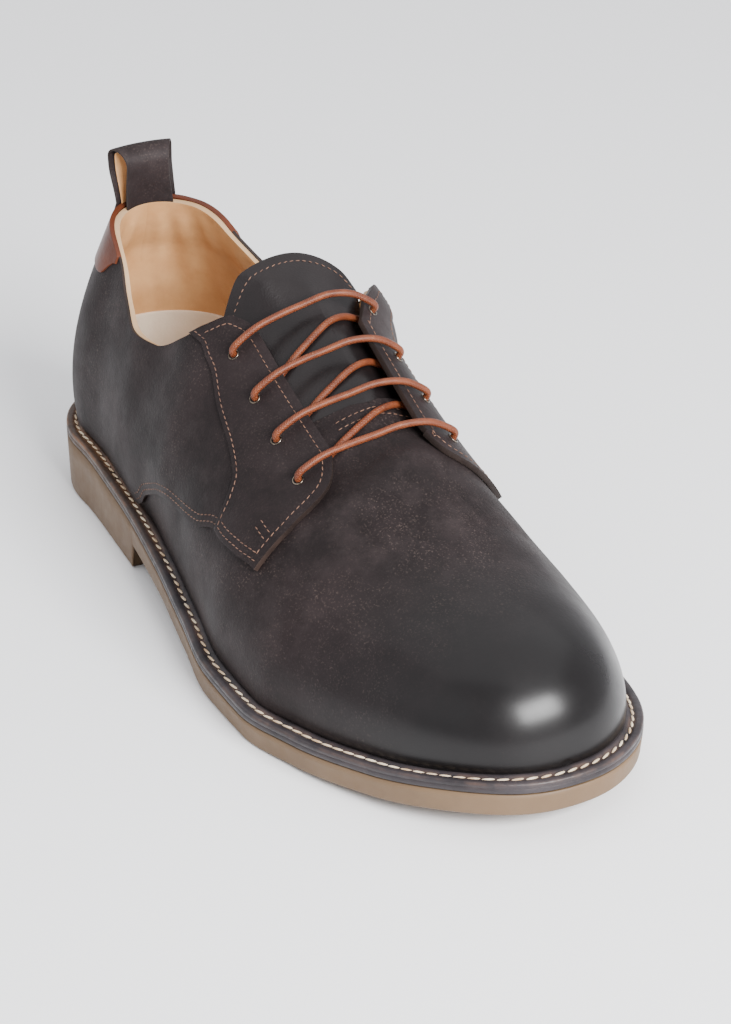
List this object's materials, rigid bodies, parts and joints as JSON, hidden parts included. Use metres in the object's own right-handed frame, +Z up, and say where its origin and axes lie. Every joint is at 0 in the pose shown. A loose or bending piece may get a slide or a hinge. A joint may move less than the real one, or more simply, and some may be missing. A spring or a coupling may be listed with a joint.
{
  "type": "derby shoe",
  "caption": "Lace-up derby dress shoe with a plain rounded toe, open lacing, a heel tab, a rear pull loop and a low heel.",
  "frame": {"origin": "on the floor, under the middle of the shoe's bounding box", "axes": "+X from heel to toe, +Y from the outer to the inner side of the foot, +Z up"},
  "size_m": [0.301, 0.1142, 0.1182],
  "materials": {
    "dark_leather": "waxed nubuck, burnished at the toe",
    "tongue_leather": "smooth, semi gloss",
    "cognac_leather": "smooth",
    "gum_rubber": "matte",
    "edge_leather": "satin edge dressing",
    "insole_lining": "soft matte",
    "eyelet_brass": "antiqued",
    "lace_cord": "waxed cord"
  },
  "bodies": {
    "root": {"outsole": "gum_rubber", "midsole": "edge_leather", "welt": "edge_leather", "insole": "insole_lining", "upper": "dark_leather", "tongue": "tongue_leather", "eyestay_lateral": "dark_leather", "eyestay_medial": "dark_leather", "quarter_lateral": "dark_leather", "quarter_medial": "dark_leather", "heel_tab": "cognac_leather", "pull_loop": "dark_leather", "eyelet_lateral_1": "eyelet_brass", "eyelet_lateral_2": "eyelet_brass", "eyelet_lateral_3": "eyelet_brass", "eyelet_lateral_4": "eyelet_brass", "eyelet_medial_1": "eyelet_brass", "eyelet_medial_2": "eyelet_brass", "eyelet_medial_3": "eyelet_brass", "eyelet_medial_4": "eyelet_brass", "lace": "lace_cord"}
  },
  "joints": []
}
